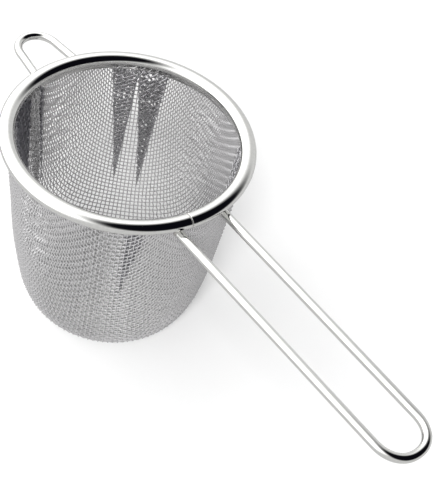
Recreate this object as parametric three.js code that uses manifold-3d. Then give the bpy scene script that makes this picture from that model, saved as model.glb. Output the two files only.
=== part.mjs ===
// A deep wire-cloth strainer: a pot-shaped basket of woven wire in a rolled rim, with a long
// wire loop as its handle and a short wire loop opposite, which rests on the edge of a pot.
// Millimetres. +Z is up, +X runs along the handle and -X along the rest hook.
// The origin is the centre of the underside of the basket's flat base.
import * as THREE from "three";
import { mergeVertices } from "three/addons/utils/BufferGeometryUtils.js";
import Module from "manifold-3d";

const wasm = await Module();
wasm.setup();

// Driving dimensions.
const RIM_RADIUS = 45; // outside of the rolled rim
const RIM_HEIGHT = 81.5; // middle of the rim's bead above the base
const FIT_GAP = 0.3; // clearance between pieces that touch

// Rim band: one strip rolled over a core wire, ending in two skirts that clamp the cloth.
const BEAD_HALF_WIDTH = 2.82;
const BEAD_HALF_HEIGHT = 2.16;
const STRIP = 0.4; // thickness of the strip
const SKIRT_DROP = 3.5; // lower edge of the skirts below the middle of the bead
const CORE_WIRE_RADIUS = 1.3;
const SEAM_ANGLE = -8; // degrees round from the handle to the strip's butt seam
const SEAM_WELD = 0.6; // width of the weld that closes the seam

// Basket: a cup of woven wire cloth that tapers gently, with a round corner and a flat base.
const CLOTH = 0.8; // thickness of the woven cloth
const CLOTH_RADIUS = 41.6; // middle of the cloth at its top edge
const CLOTH_TOP_DROP = 2; // top edge of the cloth below the middle of the bead
const BASE_RADIUS = 20.2; // where the corner has run out into the flat base
const CORNER_POWER = 6.03; // how square the wall's outline is at the corner
const TAPER_POWER = 0.917; // how early the wall starts to lean in

// Wire loops: both are bent from the same wire and welded to the outer skirt, under the bead.
const WIRE_RADIUS = 1.55;
const LOOP_START = 43.5; // distance from the axis to the cut ends of both loops
const HANDLE = { tip: 144.8, halfAtRim: 9.5, halfAtEnd: 9.1, endLength: 9.7, power: 2.2, drop: 4.2 };
const HOOK = { tip: 66.4, halfAtRim: 9.44, halfAtEnd: 7.57, endLength: 8.6, power: 2, drop: 3.9 };
const WELD_RADII = { radial: 0.5, sideways: 2, upright: 1.4 };

// How finely the surfaces are divided.
const RIM_SIDES = 56;
const BASKET_SIDES = 40;
const WALL_STEPS = 13;
const BEAD_STEPS = 16;
const WIRE_SIDES = 10;

const STEEL = { polished: 0xd9d9d6, cloth: 0xc4c4bf, weld: 0x8d8d8a };

function steel(color, roughness) {
  return new THREE.MeshStandardMaterial({ color, roughness, metalness: 1 });
}

function piece(name, geometry, material) {
  const mesh = new THREE.Mesh(geometry, material);
  mesh.name = name;
  return mesh;
}

// Turns an outline of [radius, height] points, listed anticlockwise, round the Z axis.
function turned(outline, sides) {
  const points = outline.map(([radius, height]) => new THREE.Vector2(radius, height));
  return new THREE.LatheGeometry(points, sides).rotateX(Math.PI / 2);
}

function toSolid(geometry) {
  const bare = geometry.clone();
  bare.deleteAttribute("normal");
  bare.deleteAttribute("uv");
  const merged = mergeVertices(bare, 1e-4);
  const vertProperties = merged.attributes.position.array;
  const triVerts = new Uint32Array(merged.index.array);
  return new wasm.Manifold(new wasm.Mesh({ numProp: 3, vertProperties, triVerts }));
}

function toGeometry(solid) {
  const { vertProperties, triVerts } = solid.getMesh();
  const geometry = new THREE.BufferGeometry();
  geometry.setAttribute("position", new THREE.BufferAttribute(vertProperties, 3));
  geometry.setIndex(new THREE.BufferAttribute(triVerts, 1));
  return geometry;
}

// Points of the basket's outline, offset to one side of the middle of the cloth.
// The outline is a superellipse from the top edge down to the flat base.
function wallOutline(offset) {
  const height = RIM_HEIGHT - CLOTH_TOP_DROP - CLOTH / 2;
  const middle = (turn) => {
    const reach = Math.cos(turn) ** (2 / CORNER_POWER);
    const depth = Math.sin(turn) ** (2 / TAPER_POWER);
    return new THREE.Vector2(
      BASE_RADIUS + (CLOTH_RADIUS - BASE_RADIUS) * reach,
      CLOTH / 2 + height * (1 - depth),
    );
  };
  const points = [];
  for (let i = 0; i <= WALL_STEPS; i += 1) {
    const turn = (Math.PI / 2) * (1 - (1 - i / WALL_STEPS) ** 1.7);
    const here = middle(turn);
    const along = middle(Math.min(turn + 1e-3, Math.PI / 2)).sub(middle(Math.max(turn - 1e-3, 0)));
    const outward = new THREE.Vector2(-along.y, along.x).normalize();
    points.push([here.x + outward.x * offset, here.y + outward.y * offset]);
  }
  points[0] = [CLOTH_RADIUS + offset, RIM_HEIGHT - CLOTH_TOP_DROP];
  points[WALL_STEPS] = [BASE_RADIUS, CLOTH / 2 - offset];
  return points;
}

function basketGeometry() {
  const outside = wallOutline(CLOTH / 2).reverse();
  const inside = wallOutline(-CLOTH / 2);
  return turned([[0, 0], ...outside, ...inside, [0, CLOTH]], BASKET_SIDES);
}

// Section of the rolled strip, anticlockwise: the inner face up from the inner skirt, round the
// bead and down to the outer skirt, and the outer face all the way back. The slit between the
// skirts holds the cloth.
function bandOutline() {
  const centre = RIM_RADIUS - BEAD_HALF_WIDTH;
  const slit = CLOTH / 2 + FIT_GAP;
  const roll = (inset, innerSide, outerSide) => {
    const width = BEAD_HALF_WIDTH - inset;
    const height = BEAD_HALF_HEIGHT - inset;
    const first = -Math.acos((innerSide - centre) / width);
    const last = -Math.acos((outerSide - centre) / width) - 2 * Math.PI;
    const points = [];
    for (let i = 0; i <= BEAD_STEPS; i += 1) {
      const turn = first + ((last - first) * i) / BEAD_STEPS;
      points.push([centre + width * Math.cos(turn), RIM_HEIGHT + height * Math.sin(turn)]);
    }
    return points;
  };
  const foot = RIM_HEIGHT - SKIRT_DROP;
  const inner = [CLOTH_RADIUS - slit - STRIP, CLOTH_RADIUS - slit];
  const outer = [CLOTH_RADIUS + slit, CLOTH_RADIUS + slit + STRIP];
  return [
    [inner[0], foot],
    [inner[1], foot],
    ...roll(STRIP, inner[1], outer[0]),
    [outer[0], foot],
    [outer[1], foot],
    ...roll(0, inner[0], outer[1]).reverse(),
    [inner[0], foot],
  ];
}

// A thin upright slab across the rim at the seam, wide enough to reach through the whole band.
function seamSlab(width) {
  const reach = 4 * BEAD_HALF_WIDTH;
  const slab = new THREE.BoxGeometry(reach, width, 4 * SKIRT_DROP);
  slab.translate(RIM_RADIUS - BEAD_HALF_WIDTH, 0, RIM_HEIGHT);
  return toSolid(slab.rotateZ(THREE.MathUtils.degToRad(SEAM_ANGLE)));
}

// The rolled band, open at its butt seam, and the weld that closes the seam.
function bandPieces() {
  const ring = toSolid(turned(bandOutline(), RIM_SIDES));
  const gap = SEAM_WELD + 2 * FIT_GAP;
  return {
    band: toGeometry(ring.subtract(seamSlab(gap))),
    seam: toGeometry(ring.intersect(seamSlab(SEAM_WELD))),
  };
}

function coreWireGeometry() {
  const centre = RIM_RADIUS - BEAD_HALF_WIDTH;
  const ring = new THREE.TorusGeometry(centre, CORE_WIRE_RADIUS, 8, RIM_SIDES);
  return ring.translate(0, 0, RIM_HEIGHT);
}

// Centreline of a wire loop: out along one straight leg, round the end and back along the other.
class LoopPath extends THREE.Curve {
  constructor({ tip, halfAtRim, halfAtEnd, endLength, power, drop }) {
    super();
    this.bendStart = tip - endLength;
    this.halfAtRim = halfAtRim;
    this.halfAtEnd = halfAtEnd;
    this.endLength = endLength;
    this.power = power;
    this.height = RIM_HEIGHT - drop;
    this.arcLengthDivisions = 600;
  }

  getPoint(t, target = new THREE.Vector3()) {
    const side = t < 0.5 ? 1 : -1;
    const along = 2 * Math.min(t, 1 - t); // 0 at the cut end, 1 at the tip
    if (along < 0.5) {
      const share = along / 0.5;
      const x = THREE.MathUtils.lerp(LOOP_START, this.bendStart, share);
      const y = THREE.MathUtils.lerp(this.halfAtRim, this.halfAtEnd, share);
      return target.set(x, side * y, this.height);
    }
    const turn = ((along - 0.5) / 0.5) * (Math.PI / 2);
    const x = this.bendStart + this.endLength * Math.sin(turn) ** (2 / this.power);
    const y = this.halfAtEnd * Math.max(Math.cos(turn), 0) ** (2 / this.power);
    return target.set(x, side * y, this.height);
  }
}

function loopGeometry(loop, steps) {
  const section = new THREE.Shape().absarc(0, 0, WIRE_RADIUS, 0, 2 * Math.PI);
  const extrudePath = new LoopPath(loop);
  return new THREE.ExtrudeGeometry(section, { steps, extrudePath, curveSegments: WIRE_SIDES / 2 });
}

// A flattened bead of weld between the outer skirt and the cut end of one leg.
function weldGeometry(loop, side) {
  const skirt = CLOTH_RADIUS + CLOTH / 2 + FIT_GAP + STRIP;
  const distance = skirt + FIT_GAP + WELD_RADII.radial + 0.05;
  const bead = new THREE.SphereGeometry(1, 10, 6);
  bead.scale(WELD_RADII.radial, WELD_RADII.sideways, WELD_RADII.upright);
  bead.translate(distance, 0, RIM_HEIGHT - loop.drop);
  return bead.rotateZ(side * Math.asin(loop.halfAtRim / distance));
}

const strainer = new THREE.Group();
const polished = steel(STEEL.polished, 0.12);
const weldSteel = steel(STEEL.weld, 0.55);

const { band, seam } = bandPieces();
strainer.add(piece("rim_band", band, polished));
strainer.add(piece("rim_seam_weld", seam, weldSteel));
strainer.add(piece("rim_core_wire", coreWireGeometry(), steel(STEEL.polished, 0.3)));
strainer.add(piece("mesh_basket", basketGeometry(), steel(STEEL.cloth, 0.35)));

// The handle and the hook are alike, and the hook's group is turned to face the other way.
const loops = [
  { name: "handle", loop: HANDLE, steps: 80, facing: 0 },
  { name: "hook", loop: HOOK, steps: 36, facing: Math.PI },
];
for (const { name, loop, steps, facing } of loops) {
  const group = new THREE.Group();
  group.rotation.z = facing;
  group.add(piece(`${name}_loop`, loopGeometry(loop, steps), polished));
  group.add(piece(`${name}_weld_left`, weldGeometry(loop, 1), weldSteel));
  group.add(piece(`${name}_weld_right`, weldGeometry(loop, -1), weldSteel));
  strainer.add(group);
}

export default strainer;
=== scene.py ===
"""Looks of the deep wire mesh strainer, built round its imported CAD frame.

The basket is one sheet of plain-woven wire: its threads are formed over the pot's shape by a small net
simulation and drawn as separate round wires that pass over and under each other. Spare cloth lies folded
in V-shaped pleats on the inside of the wall.
Lengths are millimetres until a mesh is made; +Z is up and +X runs along the handle.
"""

import math

import bpy
import numpy as np
from mathutils import Matrix, Vector


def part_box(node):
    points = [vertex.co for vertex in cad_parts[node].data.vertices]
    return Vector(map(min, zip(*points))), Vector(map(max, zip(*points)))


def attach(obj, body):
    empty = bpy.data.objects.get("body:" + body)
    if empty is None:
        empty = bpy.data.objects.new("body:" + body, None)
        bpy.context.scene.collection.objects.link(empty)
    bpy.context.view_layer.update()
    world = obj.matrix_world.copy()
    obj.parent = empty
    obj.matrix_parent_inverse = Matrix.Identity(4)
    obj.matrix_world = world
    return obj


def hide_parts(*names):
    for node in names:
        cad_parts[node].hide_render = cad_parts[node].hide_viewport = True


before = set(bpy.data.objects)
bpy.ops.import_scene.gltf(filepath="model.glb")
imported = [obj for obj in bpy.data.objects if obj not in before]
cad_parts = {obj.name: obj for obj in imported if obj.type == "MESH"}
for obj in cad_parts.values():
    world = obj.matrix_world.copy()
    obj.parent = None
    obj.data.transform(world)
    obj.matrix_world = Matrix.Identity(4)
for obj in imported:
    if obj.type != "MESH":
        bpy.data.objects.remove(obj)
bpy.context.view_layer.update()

MM = 0.001
SEED = 7

# Rim, taken from the CAD band: a rolled bead over two skirts that clamp the cloth.
band_low, band_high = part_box("rim_band")
BEAD_HALF_WIDTH = 2.82
BEAD_HALF_HEIGHT = 2.16
BEAD_RADIUS = band_high.x / MM - BEAD_HALF_WIDTH
RIM_HEIGHT = band_high.z / MM - BEAD_HALF_HEIGHT
SKIRT_FOOT = band_low.z / MM
STRIP = 0.4
SLIT = 0.7  # half the gap between the skirts
SEAM_ANGLE = math.radians(-8)
SEAM_GAP = 0.34

# Basket: the middle of the cloth is a superellipse from the rim down to the flat base.
CLOTH_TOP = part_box("mesh_basket")[1].z / MM
CLOTH_RADIUS = 41.6
CLOTH_HALF = 0.4
BASE_LIFT = 0.19  # keeps the knuckles of the base's wires above the floor
BASE_RADIUS = 20.2
CORNER_POWER = 6.03
TAPER_POWER = 0.917

# Woven cloth: square mesh before forming, its threads running at THREAD_ANGLE and square to it.
PITCH = 2.08
WIRE = 0.235  # radius
THREAD_ANGLE = math.radians(139)
CRIMP = (0.5, 1.5)  # how far each family of wires swings, in wire radii; together 2, so that they touch
SHEET_RADIUS = 124
PINNED_RADIUS = 26
# Pleats, where spare cloth lies folded over the inside of the wall in a V: angle at the top of the V's
# two edges and of its tip, in degrees, the tip's depth below the rim, the tilt of its threads, and
# which of the cloth's steels it has: "cloth" where it lies open, "folded", or, in a tight fold, the
# darker steel whose colour is painted shade, standing in for the shade between the fold's layers.
PLEATS = [
    (153.3, 138.4, 145.2, 61, 28, "folded"),
    (139.6, 122.6, 130, 62, 62, "folded"),
    (-26, -36.6, -36, 41, 35, "painted_shade"),
    (197, 195, 195.6, 57, 50, "painted_shade"),
    (204.8, 197.3, 202, 72, 20, "cloth"),
    (224, 205, 214, 52, 50, "painted_shade"),
    (240, 226, 233, 48, 25, "folded"),
    (61, 50, 54, 50, 65, "folded"),
    (47, 34, 41, 52, 40, "folded"),
]
PLEAT_TOP = 2  # depth below the rim where the folds start, inside the clamp
PLEAT_LAYERS = 4
PLEAT_GAP = 0.45  # from one layer to the next
FOLD_HALF_WIDTH = 0.6  # half the width over which one layer rises to the next
PLEAT_WEAVE = 0.6  # how far the wires of a pressed fold swing, in wire radii
RUMPLED = [(180, 15, 62), (96, 14, 60), (-84, 13, 50)]  # middle and half width in degrees, lowest depth
UNEVEN, RUMPLE = 0.2, 0.22  # heights of the gentle bumps and of the rumples

# How finely the net is formed and the wires are drawn.
NET_STEPS, QUICK_NET_STEPS = 1600, 600
PER_SPAN = 5  # points on a wire between two crossings
SIDES = 6
CLOTH_PIECES = 3  # pieces that the wires of each family are shared between
SHORTEST = 3  # a run of wire with no more rings than this is left out

# Wire loops: distance from the axis of the cut ends, half widths, and the shape of the round end.
LOOP_WIRE = 1.55  # radius
LOOP_START = 41.7
LOOP_STEP, LOOP_SIDES = 0.35, 32  # distance between the rings of a loop, and points on each
HANDLE = {
    "node": "handle",
    "facing": 0,
    "tip": 144.8,
    "at_rim": 9.5,
    "at_end": 9.1,
    "end": 9.7,
    "power": 2.2,
    "drop": 4.2,
}
HOOK = {
    "node": "hook",
    "facing": math.pi,
    "tip": 66.4,
    "at_rim": 9.44,
    "at_end": 7.57,
    "end": 8.6,
    "power": 2.0,
    "drop": 3.9,
}
WELD_RADII = (0.5, 1.8, 1.3)  # half sizes of a spot weld: outwards, sideways and upright
WELD_INSET = 0.2  # middle of a spot weld outside the skirt

# Key light: a broad sun. Directions are azimuth and elevation in degrees.
KEY_DIRECTION = (-50, 46)
KEY_STRENGTH = 3.55
KEY_WIDTH = 25

# Steels: name, colour, roughness, how far that varies, noise scale per metre, relief, and metallic share.
STEELS = {
    "polished": ("polished_steel", (0.86, 0.86, 0.84), 0.07, 0.03, 900, 0.02, 1),
    "cloth": ("cloth_steel", (0.66, 0.655, 0.66), 0.2, 0.05, 2500, 0, 0.7),
    "folded": ("folded_cloth_steel", (0.66, 0.655, 0.67), 0.22, 0.05, 2500, 0, 1),
    # Painted shade: the tight folds' steel is rougher and darker in colour, the darker colour standing in
    # for the shade between the fold's layers.
    "painted_shade": ("painted_shade_cloth_steel", (0.44, 0.435, 0.47), 0.3, 0.05, 2500, 0, 1),
    "weld": ("weld_steel", (0.6, 0.58, 0.56), 0.4, 0.15, 3000, 0.5, 1),
    "core": ("core_wire_steel", (0.6, 0.6, 0.59), 0.35, 0.08, 1500, 0.1, 1),
}

FLOOR_RADIUS = 1500
FLOOR_RINGS, FLOOR_SIDES = 23, 96
FLOOR_MIDDLE = 40  # along X, below the middle of the whole object
FLOOR_DROP = 0.05  # below the lowest wires
FLOOR_TONES = (0.4, 0.72)  # as other surfaces see it, and as the camera sees it

# Camera: focal length and height of the photo in its pixels, and width of the sensor in millimetres.
FOCAL_LENGTH, PHOTO_HEIGHT = 1000, 495
SENSOR = 36

# Studio sky: its tone, then soft round patches laid over it. Each patch has the direction of its middle,
# the angles from there where it starts to fade and where it ends, in degrees, and its own tone.
SKY_TONE = (0.62, 0.62, 0.62)
SKY_STRENGTH = 1.1
SKY = [
    ((215, 40), 35, 75, (1.7, 1.7, 1.7)),
    ((22, 50), 38, 62, (0.003, 0.003, 0.005)),
]


# ---------------------------------------------------------------- mesh helpers


def new_mesh_object(name, vertices, faces, material):
    """vertices in millimetres as an (n, 3) array, faces as an (m, 3) or (m, 4) array."""
    mesh = bpy.data.meshes.new(name)
    count, sides = faces.shape
    mesh.vertices.add(len(vertices))
    mesh.vertices.foreach_set("co", (vertices * MM).astype(np.float32).ravel())
    mesh.loops.add(count * sides)
    mesh.loops.foreach_set("vertex_index", faces.astype(np.int32).ravel())
    mesh.polygons.add(count)
    mesh.polygons.foreach_set("loop_start", np.arange(0, count * sides, sides, dtype=np.int32))
    mesh.polygons.foreach_set("use_smooth", np.full(count, True))
    mesh.update(calc_edges=True)
    mesh.validate()
    mesh.materials.append(material)
    made = bpy.data.objects.new(name, mesh)
    bpy.context.scene.collection.objects.link(made)
    return made


def part_of_object(piece, slot, *nodes):
    """The piece rides on the strainer's one body and stands for CAD nodes; slot is not used."""
    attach(piece, "root")
    if nodes:
        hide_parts(*nodes)


def unit(v):
    return v / np.maximum(np.linalg.norm(v, axis=-1, keepdims=True), 1e-12)


def tube(path, normals, radius, sides):
    """Rings of a round tube round a path, with each ring's first point towards the normal."""
    along = unit(np.gradient(path, axis=0))
    across = unit(np.cross(along, normals))
    up = np.cross(across, along)
    turn = np.linspace(0, 2 * np.pi, sides, endpoint=False)
    radius = np.broadcast_to(radius, len(path))[:, None, None]
    ring = np.cos(turn)[None, :, None] * up[:, None, :] + np.sin(turn)[None, :, None] * across[:, None, :]
    return path[:, None, :] + radius * ring


def ring_faces(rows, sides, first=0):
    """Quads that join successive rings of the same number of points."""
    row = np.arange(rows - 1)[:, None] * sides
    side = np.arange(sides)[None, :]
    following = (side + 1) % sides
    quads = np.stack([row + side, row + following, row + sides + following, row + sides + side], -1)
    return quads.reshape(-1, 4) + first


# ---------------------------------------------------------------- cloth: forming the net


def basket_outline():
    """Distance along the middle of the cloth from the centre of its base, with radius and height there.
    Above the rim it carries on straight up, so that the edge of the sheet has somewhere to go."""
    turn = np.linspace(np.pi / 2, 0, 3001)
    height = CLOTH_TOP - CLOTH_HALF
    spare = 80
    r = BASE_RADIUS + (CLOTH_RADIUS - BASE_RADIUS) * np.abs(np.cos(turn)) ** (2 / CORNER_POWER)
    z = CLOTH_HALF + height * (1 - np.sin(turn) ** (2 / TAPER_POWER))
    r[0] = BASE_RADIUS
    r = np.concatenate([[0], r, [CLOTH_RADIUS]])
    z = np.concatenate([[CLOTH_HALF], z, [CLOTH_TOP + spare]])
    s = np.concatenate([[0], np.cumsum(np.hypot(np.diff(r), np.diff(z)))])
    keep = np.concatenate([[True], np.diff(s) > 1e-9])
    return s[keep], r[keep], z[keep]


ALONG, OUT, UP = basket_outline()


def wrap(angle):
    """The same angle from -pi to pi."""
    return (angle + np.pi) % (2 * np.pi) - np.pi


NEIGHBOURS = [  # first point, second point, whether a thread joins them
    ((slice(None, -1), slice(None)), (slice(1, None), slice(None)), True),
    ((slice(None), slice(None, -1)), (slice(None), slice(1, None)), True),
    ((slice(None, -1), slice(None, -1)), (slice(1, None), slice(1, None)), False),
    ((slice(1, None), slice(None, -1)), (slice(None, -1), slice(1, None)), False),
]


def pull_threads(s, angle, inside):
    """Moves that bring each thread's crossings PITCH apart and keep crossings off each other."""
    move_s, move_angle = np.zeros_like(s), np.zeros_like(s)
    squeeze = 0.06  # how hard a short span pushes, where a long one pulls with 1
    nearest = 1.1  # least distance between diagonal neighbours
    for a, b, thread in NEIGHBOURS:
        turn = wrap(angle[b] - angle[a])
        radius = np.interp((s[a] + s[b]) / 2, ALONG, OUT)
        dx, dy = radius * turn, s[b] - s[a]
        length = np.hypot(dx, dy) + 1e-9
        if thread:
            error = (length - PITCH) / length * np.where(length > PITCH, 1, squeeze)
        else:
            error = np.minimum((length - nearest) / length, 0)
        error = 0.5 * error * (inside[a] & inside[b])
        move_s[a] += error * dy
        move_s[b] -= error * dy
        move_angle[a] += error * dx / radius
        move_angle[b] -= error * dx / radius
    return move_s, move_angle


def straighten_threads(s, angle, inside):
    """Moves that take kinks out of the threads, mostly square to each thread."""
    move_s, move_angle = np.zeros_like(s), np.zeros_like(s)
    stiffness, square = 0.5, 0.9
    for flip in (False, True):
        s_, angle_, inside_ = (x.T if flip else x for x in (s, angle, inside))
        to_s, to_angle = (x.T if flip else x for x in (move_s, move_angle))
        before, here, after = slice(None, -2), slice(1, -1), slice(2, None)
        on = (inside_[before] & inside_[here] & inside_[after]) * stiffness
        ds = ((s_[before] + s_[after]) / 2 - s_[here]) * on
        turns = [wrap(angle_[x] - angle_[here]) for x in (before, after)]
        dx = (turns[0] + turns[1]) / 2 * on
        radius = np.interp(s_[here], ALONG, OUT)
        tx, ty = radius * wrap(angle_[after] - angle_[before]), s_[after] - s_[before]
        length = np.hypot(tx, ty) + 1e-9
        tx, ty = tx / length, ty / length
        along = (dx * radius * tx + ds * ty) * square
        ds = ds - along * ty
        dx = dx - along * tx / np.maximum(radius, 1)
        to_s[here] += ds
        to_angle[here] += dx
        for x in (before, after):
            to_s[x] -= ds / 2
            to_angle[x] -= dx / 2
    return move_s, move_angle


def form_net(steps):
    """Presses the flat square net over the pot: the sheet's crossings as (distance along, angle)."""
    half = SHEET_RADIUS // PITCH
    k = (np.arange(-half, half) + 0.5) * PITCH
    flat_u, flat_v = np.meshgrid(k, k, indexing="ij")
    s = np.hypot(flat_u, flat_v)
    angle = np.arctan2(flat_v, flat_u) + THREAD_ANGLE
    inside = s < SHEET_RADIUS
    free = (s > PINNED_RADIUS) & inside
    speed_s, speed_angle = np.zeros_like(s), np.zeros_like(s)
    memory, step_size = 0.92, 0.225
    for _ in range(steps):
        pull = pull_threads(s, angle, inside)
        bend = straighten_threads(s, angle, inside)
        speed_s = (speed_s * memory + (pull[0] + bend[0]) * step_size) * free
        speed_angle = (speed_angle * memory + (pull[1] + bend[1]) * step_size) * free
        s += speed_s
        angle += speed_angle
    return s, angle, inside


# ---------------------------------------------------------------- cloth: wires


def spline(values, per_span):
    """A smooth curve through evenly spaced values, with per_span samples in each span."""
    padded = np.concatenate([[2 * values[0] - values[1]], values, [2 * values[-1] - values[-2]]])
    t = np.arange(per_span) / per_span
    p0, p1, p2, p3 = (padded[i : len(values) - 1 + i][:, None] for i in range(4))
    curve = p1 + 0.5 * t * (p2 - p0 + t * (2 * p0 - 5 * p1 + 4 * p2 - p3 + t * (3 * (p1 - p2) + p3 - p0)))
    return np.append(curve.ravel(), values[-1])


def smoothstep(x):
    x = np.clip(x, 0, 1)
    return x * x * (3 - 2 * x)


def bumps(s, angle):
    """Unevenness of the formed wall: gentle all over, rumpled in RUMPLED, and a slight lift of the base."""
    depth = RIM_HEIGHT - np.interp(s, ALONG, UP)
    wall = smoothstep((depth - 4) / 8) * smoothstep((74 - depth) / 8)
    slow = np.sin(7 * angle + 0.06 * depth + 1) * np.sin(0.11 * depth + 2 * angle)
    rumple = np.sin(1.7 * depth + 24 * angle + 2 * np.sin(11 * angle + 0.3 * depth))
    rumple += np.sin(1.3 * depth - 17 * angle + 2 * np.sin(14 * angle - 0.2 * depth))
    rumple += 0.8 * np.sin(2.9 * depth + 2 * np.sin(23 * angle))
    near = sum(
        smoothstep((width - np.abs(wrap(angle - math.radians(middle))) * 180 / np.pi) / width * 2)
        * smoothstep((lowest - depth) / 20)
        for middle, width, lowest in RUMPLED
    )
    return wall * (UNEVEN * slow + RUMPLE * near * rumple) - BASE_LIFT * smoothstep((depth - 74) / 6)


def on_wall(s, angle, away):
    """Points that far out from the middle of the wall, and the wall's normals there, in millimetres."""
    step = 0.2
    slope_out = np.interp(s + step, ALONG, OUT) - np.interp(s - step, ALONG, OUT)
    slope_up = np.interp(s + step, ALONG, UP) - np.interp(s - step, ALONG, UP)
    size = np.hypot(slope_out, slope_up) + 1e-12
    normal_out, normal_up = slope_up / size, -slope_out / size
    away = away + bumps(s, angle)
    radial = np.stack([np.cos(angle), np.sin(angle)], -1)
    distance = np.interp(s, ALONG, OUT) + away * normal_out
    height = np.interp(s, ALONG, UP) + away * normal_up
    path = np.column_stack([radial * distance[:, None], height])
    return path, np.column_stack([radial * normal_out[:, None], normal_up])


def runs(keep):
    """Start and end of each unbroken run of true values."""
    edges = np.flatnonzero(np.diff(np.concatenate([[False], keep, [False]]).astype(int)))
    return zip(edges[::2], edges[1::2])


def cloth_wires(s, angle, inside, family, top):
    """Tubes along the wires of one family."""
    tubes = []
    for i in range(len(s)):
        for start, end in runs(inside[i]):
            if end - start < 3:
                continue
            along = spline(s[i, start:end], PER_SPAN)
            around = spline(np.unwrap(angle[i, start:end]), PER_SPAN)
            crossing = i + start + family + np.arange(len(along)) / PER_SPAN
            path, normals = on_wall(along, around, CRIMP[family] * WIRE * np.cos(np.pi * crossing))
            for a, b in runs(along < top):
                if b - a > SHORTEST:
                    tubes.append(tube(path[a:b], normals[a:b], WIRE, SIDES))
    return tubes


def pleat_wires(pleat):
    """Tubes along the wires of one pleat: a wedge of cloth folded to and fro over the wall."""
    edge, other, tip, tip_depth, tilt, _ = pleat
    edge, other, tip, tilt = (math.radians(x) for x in (edge, other, tip, tilt))
    reach = PLEAT_LAYERS * abs(edge - other) * CLOTH_RADIUS
    count = int(math.hypot(reach, tip_depth) / 2 / PITCH) + 2
    t = np.arange(-count * PER_SPAN, count * PER_SPAN + 1) / PER_SPAN
    tubes = []
    for family in (0, 1):
        c, sn = math.cos(tilt + family * math.pi / 2), math.sin(tilt + family * math.pi / 2)
        for i in range(-count, count + 1):
            across = reach / 2 + (c * t - sn * i) * PITCH
            depth = tip_depth / 2 + (sn * t + c * i) * PITCH
            open_share = (tip_depth - depth) / (tip_depth - PLEAT_TOP)
            width = np.maximum(open_share * abs(edge - other) * CLOTH_RADIUS, 1e-6)
            share = across / width
            zigzag = np.abs((share + 1) % 2 - 1)
            around = tip + (edge - tip + zigzag * (other - edge)) * open_share
            turn = np.clip(FOLD_HALF_WIDTH / width, 0, 0.4)
            height = 1 + sum(smoothstep((share - k + turn) / (2 * turn)) for k in range(1, PLEAT_LAYERS))
            height = height * smoothstep(share / turn) * smoothstep((PLEAT_LAYERS - share) / turn)
            height = height * PLEAT_GAP * smoothstep(width / 1.5)
            height = height * (0.3 + 0.7 * smoothstep((depth - 2.5) / 3))  # flatter in the clamp
            along = np.interp(RIM_HEIGHT - depth, UP[1:], ALONG[1:])
            weave = PLEAT_WEAVE * WIRE * np.cos(np.pi * (i + family + t))
            path, normals = on_wall(along, around, weave - height)
            within = (share > 0) & (share < PLEAT_LAYERS) & (depth > PLEAT_TOP) & (open_share > 0)
            for a, b in runs(within):
                if b - a > SHORTEST:
                    tubes.append(tube(path[a:b], normals[a:b], WIRE, SIDES))
    return tubes


def lay_out_map(piece, tubes):
    """Unrolls the tubes side by side in rows, so that no two faces share a place on the bake map."""
    longest = max(len(rings) for rings in tubes)
    total = sum(len(rings) for rings in tubes)
    row_length = max(longest, int(math.sqrt(total * SIDES * 2))) + 1
    margin = 0.05  # left empty on both sides of a row, as a share of its height
    row, at, uv = 0, 0, []
    side = np.arange(SIDES)
    corners = np.array([[0, 0], [0, 1], [1, 1], [1, 0]])  # ring and side steps, in the order of ring_faces
    for rings in tubes:
        if at + len(rings) > row_length:
            row, at = row + 1, 0
        ring = np.arange(len(rings) - 1)
        ring, side_ = np.meshgrid(ring + at, side, indexing="ij")
        u = (ring[..., None] + corners[:, 0]) / row_length
        v = row + margin + (1 - 2 * margin) * (side_[..., None] + corners[:, 1]) / SIDES
        uv.append(np.stack([u, v], -1).reshape(-1, 2))
        at += len(rings) + 1
    uv = np.concatenate(uv) / [1, row + 1]
    piece.data.uv_layers.new(name="OFBake").data.foreach_set("uv", uv.astype(np.float32).ravel())


def make_wires(name, tubes, material):
    """One piece of cloth from its tubes."""
    firsts = np.cumsum([0] + [len(rings) * SIDES for rings in tubes])
    vertices = np.concatenate([rings.reshape(-1, 3) for rings in tubes])
    faces = np.concatenate([ring_faces(len(rings), SIDES, first) for rings, first in zip(tubes, firsts)])
    piece = new_mesh_object(name, vertices, faces, material)
    lay_out_map(piece, tubes)
    part_of_object(piece, "cloth_steel", "mesh_basket")


def make_cloth(steels):
    """The basket's wires, each family shared between pieces of like size, and the pleats."""
    s, angle, inside = form_net(NET_STEPS)
    top = np.interp(CLOTH_TOP, UP[1:], ALONG[1:])
    for family, (s_, angle_, inside_) in enumerate(((s, angle, inside), (s.T, angle.T, inside.T))):
        tubes = cloth_wires(s_, angle_, inside_, family, top)
        rings_so_far = np.cumsum([len(rings) for rings in tubes])
        piece_of = rings_so_far * CLOTH_PIECES // (rings_so_far[-1] + 1)
        for number in range(CLOTH_PIECES):
            share = [rings for rings, piece in zip(tubes, piece_of) if piece == number]
            make_wires(f"cloth_wires_{('warp', 'weft')[family]}_{number + 1}", share, steels["cloth"])
    for number, pleat in enumerate(PLEATS):
        make_wires(f"cloth_pleat_{number + 1}", pleat_wires(pleat), steels[pleat[-1]])


# ---------------------------------------------------------------- rim, loops and welds


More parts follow.
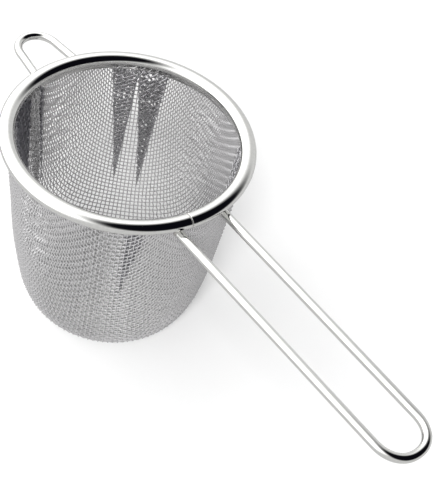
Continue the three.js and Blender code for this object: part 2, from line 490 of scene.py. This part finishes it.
def band_section(points):
    """Closed outline of the rolled strip as (radius, height), with rounded skirt feet."""
    inner = [CLOTH_RADIUS - SLIT - STRIP, CLOTH_RADIUS - SLIT]
    outer = [CLOTH_RADIUS + SLIT, CLOTH_RADIUS + SLIT + STRIP]

    def roll(inset, inner_side, outer_side, count):
        width, height = BEAD_HALF_WIDTH - inset, BEAD_HALF_HEIGHT - inset
        start = -math.acos((inner_side - BEAD_RADIUS) / width)
        stop = -math.acos((outer_side - BEAD_RADIUS) / width) - 2 * math.pi
        turn = np.linspace(start, stop, count)
        return np.column_stack([BEAD_RADIUS + width * np.cos(turn), RIM_HEIGHT + height * np.sin(turn)])

    def foot(side, sign):
        turn = np.linspace(np.pi, 2 * np.pi, 6)
        middle = (side[0] + side[1]) / 2
        x = middle + sign * STRIP / 2 * np.cos(turn)
        return np.column_stack([x, SKIRT_FOOT + STRIP / 2 + STRIP / 2 * np.sin(turn)])

    return np.concatenate(
        [
            foot(inner, 1),
            roll(STRIP, inner[1], outer[0], points // 2),
            foot(outer, 1),
            roll(0, inner[0], outer[1], points)[::-1],
        ]
    )


def turned_section(section, angles, scale):
    """Vertices of a section swept round Z; scale shrinks each step's section towards its bead's middle."""
    middle = np.array([BEAD_RADIUS, RIM_HEIGHT])
    points = middle + (section - middle)[None] * scale[:, None, None]
    radial = np.stack([np.cos(angles), np.sin(angles)], -1)
    flat = radial[:, None, :] * points[..., :1]
    return np.concatenate([flat, points[..., 1:]], -1)


def capped(rings):
    """Vertices and triangles of a swept section, closed at both ends by a fan."""
    rows, sides = rings.shape[:2]
    quads = ring_faces(rows, sides)
    triangles = np.concatenate([quads[:, [0, 1, 2]], quads[:, [0, 2, 3]]])
    vertices = np.concatenate([rings.reshape(-1, 3), rings[:1].mean(1), rings[-1:].mean(1)])
    side = np.arange(sides)
    following = (side + 1) % sides
    low, high = rows * sides, rows * sides + 1
    last = (rows - 1) * sides
    start = np.stack([following, side, np.full(sides, low)], -1)
    end = np.stack([last + side, last + following, np.full(sides, high)], -1)
    return vertices, np.concatenate([triangles, start, end])


def make_rim(material, weld_material):
    """The rolled strip, its ends rounded off at the seam, and the thin weld that closes the seam."""
    section = band_section(56)
    half_gap = SEAM_GAP / 2 / BEAD_RADIUS
    share = np.linspace(0, 1, 361)
    angles = SEAM_ANGLE + half_gap + (2 * math.pi - 2 * half_gap) * share
    extra = np.array([0.08, 0.2, 0.4]) / BEAD_RADIUS
    angles = np.sort(np.concatenate([angles, angles[0] + extra, angles[-1] - extra]))
    near_end = np.minimum(angles - angles[0], angles[-1] - angles) * BEAD_RADIUS
    scale = 1 - 0.03 * np.clip(1 - near_end / 0.2, 0, 1) ** 2
    vertices, faces = capped(turned_section(section, angles, scale))
    rim = new_mesh_object("rim_rolled_strip", vertices, faces, material)
    part_of_object(rim, "rim_steel", "rim_band")
    angles = SEAM_ANGLE + np.linspace(-1.2, 1.2, 7) * half_gap
    scale = 0.975 - 0.01 * np.cos(np.linspace(0, 5, 7))
    vertices, faces = capped(turned_section(section, angles, scale))
    seam = new_mesh_object("rim_seam_bead", vertices, faces, weld_material)
    part_of_object(seam, "weld_steel", "rim_seam_weld")


def loop_path(loop, steps):
    """Centre line of a wire loop, out along one leg, round the end and back."""
    start = loop["tip"] - loop["end"]
    turn = np.linspace(0, np.pi / 2, steps)
    bend_x = start + loop["end"] * np.sin(turn) ** (2 / loop["power"])
    bend_y = loop["at_end"] * np.cos(turn) ** (2 / loop["power"])
    bend_y[-1] = 0
    leg = np.linspace(0, 1, steps)[:-1]
    x = np.concatenate([LOOP_START + (start - LOOP_START) * leg, bend_x])
    y = np.concatenate([loop["at_rim"] + (loop["at_end"] - loop["at_rim"]) * leg, bend_y])
    half = np.column_stack([x, y, np.full(len(x), RIM_HEIGHT - loop["drop"])])
    other = half[-2::-1] * [1, -1, 1]
    return even_steps(np.concatenate([half, other]), LOOP_STEP)


def even_steps(path, step):
    """The path with points about a step apart."""
    length = np.concatenate([[0], np.cumsum(np.linalg.norm(np.diff(path, axis=0), axis=1))])
    at = np.linspace(0, length[-1], int(length[-1] / step))
    return np.column_stack([np.interp(at, length, path[:, i]) for i in range(3)])


def smoothed(path, times):
    """The path with each point moved towards its neighbours that many times."""
    for _ in range(times):
        path[1:-1] = (path[:-2] + 2 * path[1:-1] + path[2:]) / 4
    return path


def make_loop(loop, material):
    """One bent wire, bevelled at its cut ends."""
    path = smoothed(loop_path(loop, 200), 12)
    normals = np.tile([0.0, 0.0, 1.0], (len(path), 1))
    length = np.concatenate([[0], np.cumsum(np.linalg.norm(np.diff(path, axis=0), axis=1))])
    from_end = np.minimum(length, length[-1] - length)
    bevel = 0.35
    radius = LOOP_WIRE - bevel * np.clip(1 - from_end / bevel, 0, 1) ** 2
    rings = tube(path, normals, radius, LOOP_SIDES)
    rings = rings @ np.array(Matrix.Rotation(loop["facing"], 3, "Z")).T
    vertices, faces = capped(rings)
    piece = new_mesh_object(f"{loop['node']}_wire", vertices, faces, material)
    part_of_object(piece, "loop_steel", f"{loop['node']}_loop")


def make_weld(loop, side, material, rng):
    """A spot weld squeezed out between the rim's skirt and the cut end of one leg."""
    distance = CLOTH_RADIUS + SLIT + STRIP + WELD_INSET
    turn = side * math.asin(loop["at_rim"] / distance) + loop["facing"]
    polar = np.linspace(0.08, np.pi - 0.08, 20)
    polar, around = np.meshgrid(polar, np.linspace(0, 2 * np.pi, 28, endpoint=False))
    lump = 1 + 0.08 * np.sin(3 * around + rng.uniform(0, 6)) * np.sin(2 * polar + rng.uniform(0, 6))
    lump += 0.05 * np.sin(7 * around + 5 * polar + rng.uniform(0, 6))
    rings = np.stack(
        [
            WELD_RADII[0] * lump * np.cos(polar),
            WELD_RADII[1] * lump * np.sin(polar) * np.cos(around),
            WELD_RADII[2] * lump * np.sin(polar) * np.sin(around),
        ],
        -1,
    ).transpose(1, 0, 2)
    rings += [distance, 0, RIM_HEIGHT - loop["drop"]]
    rings = rings @ np.array(Matrix.Rotation(turn, 3, "Z")).T
    vertices, faces = capped(rings)
    name = "left" if side > 0 else "right"
    piece = new_mesh_object(f"{loop['node']}_spot_weld_{name}", vertices, faces, material)
    part_of_object(piece, "weld_steel", f"{loop['node']}_weld_{name}")


# ---------------------------------------------------------------- materials


def steel(name, color, roughness, spread, grain, bump, metallic):
    """Stainless steel with uneven polish: its roughness varies by up to spread, at the grain's scale.
    A lower metallic share lets fine wire catch the key light, which mirror reflections don't show."""
    material = bpy.data.materials.new(name)
    material.use_nodes = True
    nodes, links = material.node_tree.nodes, material.node_tree.links
    shader = nodes["Principled BSDF"]
    shader.inputs["Metallic"].default_value = metallic
    place = nodes.new("ShaderNodeTexCoord")
    noise = nodes.new("ShaderNodeTexNoise")
    noise.inputs["Scale"].default_value = grain
    noise.inputs["Detail"].default_value = 6
    links.new(place.outputs["Object"], noise.inputs["Vector"])
    polish = nodes.new("ShaderNodeMapRange")
    polish.inputs["To Min"].default_value = roughness - spread
    polish.inputs["To Max"].default_value = roughness + spread
    links.new(noise.outputs["Fac"], polish.inputs["Value"])
    links.new(polish.outputs["Result"], shader.inputs["Roughness"])
    tint = nodes.new("ShaderNodeValToRGB")
    tint.color_ramp.elements[0].color = (*[c * 0.93 for c in color], 1)
    tint.color_ramp.elements[1].color = (*color, 1)
    tint.color_ramp.elements[0].position = 0.3
    tint.color_ramp.elements[1].position = 0.7
    links.new(noise.outputs["Fac"], tint.inputs["Fac"])
    links.new(tint.outputs["Color"], shader.inputs["Base Color"])
    if bump:
        relief = nodes.new("ShaderNodeBump")
        relief.inputs["Strength"].default_value = bump
        relief.inputs["Distance"].default_value = 0.0001
        links.new(noise.outputs["Fac"], relief.inputs["Height"])
        links.new(relief.outputs["Normal"], shader.inputs["Normal"])
    return material


def floor_material():
    """A matt floor that is paler to the camera than to reflections and bounced light."""
    material = bpy.data.materials.new("pale_floor")
    material.use_nodes = True
    nodes, links = material.node_tree.nodes, material.node_tree.links
    shader = nodes["Principled BSDF"]
    path = nodes.new("ShaderNodeLightPath")
    tint = nodes.new("ShaderNodeValToRGB")
    for element, tone in zip(tint.color_ramp.elements, FLOOR_TONES):
        element.color = (tone, tone, tone, 1)
    links.new(path.outputs["Is Camera Ray"], tint.inputs["Fac"])
    links.new(tint.outputs["Color"], shader.inputs["Base Color"])
    shader.inputs["Roughness"].default_value = 0.9
    shader.inputs["Specular IOR Level"].default_value = 0.1
    return material


# ---------------------------------------------------------------- stage, light and camera


def make_floor():
    """A wide flat disc just under the strainer, in rings round one middle point."""
    radius = np.linspace(0, 1, FLOOR_RINGS + 1)[1:, None] * FLOOR_RADIUS
    turn = np.linspace(0, 2 * np.pi, FLOOR_SIDES, endpoint=False)[None, :]
    x, y = radius * np.cos(turn) + FLOOR_MIDDLE, radius * np.sin(turn)
    vertices, faces = capped(np.stack([x, y, np.full_like(x, -FLOOR_DROP)], -1))
    # the last point and fan would close the outer ring, so they are left out
    floor = new_mesh_object("floor", vertices[:-1], faces[:-FLOOR_SIDES], floor_material())


def direction(azimuth, elevation):
    a, e = math.radians(azimuth), math.radians(elevation)
    return (math.cos(a) * math.cos(e), math.sin(a) * math.cos(e), math.sin(e))


def sky_patch(nodes, links, toward, inner, outer):
    """A soft-edged round patch of sky: 1 within inner degrees of a direction and 0 beyond outer."""
    place = nodes.new("ShaderNodeTexCoord")
    turned = nodes.new("ShaderNodeVectorMath")
    turned.operation = "DOT_PRODUCT"
    turned.inputs[1].default_value = direction(*toward)
    links.new(place.outputs["Generated"], turned.inputs[0])
    edge = nodes.new("ShaderNodeMapRange")
    edge.interpolation_type = "SMOOTHSTEP"
    edge.inputs["From Min"].default_value = math.cos(math.radians(outer))
    edge.inputs["From Max"].default_value = math.cos(math.radians(inner))
    links.new(turned.outputs["Value"], edge.inputs["Value"])
    return edge.outputs["Result"]


def make_world():
    """A bright studio with the unlit side of the room on the right, and plain white to the camera."""
    world = bpy.data.worlds.new("studio")
    bpy.context.scene.world = world
    world.use_nodes = True
    nodes, links = world.node_tree.nodes, world.node_tree.links
    shown = nodes["Background"]
    shown.inputs["Color"].default_value = (1, 1, 1, 1)
    lighting = nodes.new("ShaderNodeBackground")
    lighting.inputs["Strength"].default_value = SKY_STRENGTH
    color = None
    for toward, inner, outer, tone in SKY:
        mix = nodes.new("ShaderNodeMix")
        mix.data_type = "RGBA"
        share, below, above = mix.inputs[0], mix.inputs[6], mix.inputs[7]
        if color is None:
            below.default_value = (*SKY_TONE, 1)
        else:
            links.new(color, below)
        above.default_value = (*tone, 1)
        links.new(sky_patch(nodes, links, toward, inner, outer), share)
        color = mix.outputs[2]
    links.new(color, lighting.inputs["Color"])
    path = nodes.new("ShaderNodeLightPath")
    choice = nodes.new("ShaderNodeMixShader")
    links.new(path.outputs["Is Camera Ray"], choice.inputs["Fac"])
    links.new(lighting.outputs["Background"], choice.inputs[1])
    links.new(shown.outputs["Background"], choice.inputs[2])
    links.new(choice.outputs["Shader"], nodes["World Output"].inputs["Surface"])


def make_key_light():
    """A broad soft light near the camera, so that the shadow on the floor lies behind the strainer."""
    data = bpy.data.lights.new("key_light", "SUN")
    data.energy = KEY_STRENGTH
    data.angle = math.radians(KEY_WIDTH)
    light = bpy.data.objects.new("key_light", data)
    bpy.context.scene.collection.objects.link(light)
    light.rotation_euler = Vector(direction(*KEY_DIRECTION)).to_track_quat("Z", "Y").to_euler()
    light.visible_glossy = False


def make_camera():
    """The fitted camera: it looks down on the rim's middle, then is panned, tilted and rolled a little."""
    elevation, around, distance = 0.75, 0.852, 351.711  # radians, radians and millimetres
    pan, tilt, roll = 0.103, -0.096, 0.155  # radians
    eye = np.array([0, -distance * math.cos(elevation), distance * math.sin(elevation)])
    forward = -eye / np.linalg.norm(eye)
    right = np.array([1.0, 0, 0])
    axes = np.array([right, np.cross(right, forward), forward])
    cp, sp, ct, st, cr, sr = (f(x) for x in (pan, tilt, roll) for f in (math.cos, math.sin))
    turn_pan = np.array([[cp, 0, -sp], [0, 1, 0], [sp, 0, cp]])
    turn_tilt = np.array([[1, 0, 0], [0, ct, -st], [0, st, ct]])
    turn_roll = np.array([[cr, sr, 0], [-sr, cr, 0], [0, 0, 1]])
    axes = turn_roll @ turn_tilt @ turn_pan @ axes
    spin = np.array(Matrix.Rotation(around, 3, "Z"))
    axes = axes @ spin.T
    eye = spin @ eye + [0, 0, RIM_HEIGHT]
    data = bpy.data.cameras.new("camera")
    camera = bpy.data.objects.new("camera", data)
    bpy.context.scene.collection.objects.link(camera)
    data.sensor_width = SENSOR
    data.lens = SENSOR * FOCAL_LENGTH / PHOTO_HEIGHT
    data.clip_start, data.clip_end = 0.01, 20
    matrix = Matrix.Identity(4)
    for row in range(3):
        matrix[row][0], matrix[row][1], matrix[row][2] = axes[0][row], axes[1][row], -axes[2][row]
        matrix[row][3] = eye[row] * MM
    camera.matrix_world = matrix
    bpy.context.scene.camera = camera


def main():
    rng = np.random.default_rng(SEED)
    steels = {short: steel(*values) for short, values in STEELS.items()}
    make_cloth(steels)
    make_rim(steels["polished"], steels["weld"])
    for loop in (HANDLE, HOOK):
        make_loop(loop, steels["polished"])
        for side in (1, -1):
            make_weld(loop, side, steels["weld"], rng)
    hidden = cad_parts["rim_core_wire"]
    hidden.data.materials.clear()
    hidden.data.materials.append(steels["core"])
    make_floor()
    make_world()
    make_key_light()
    make_camera()
    bpy.context.scene.view_settings.view_transform = "Standard"


main()
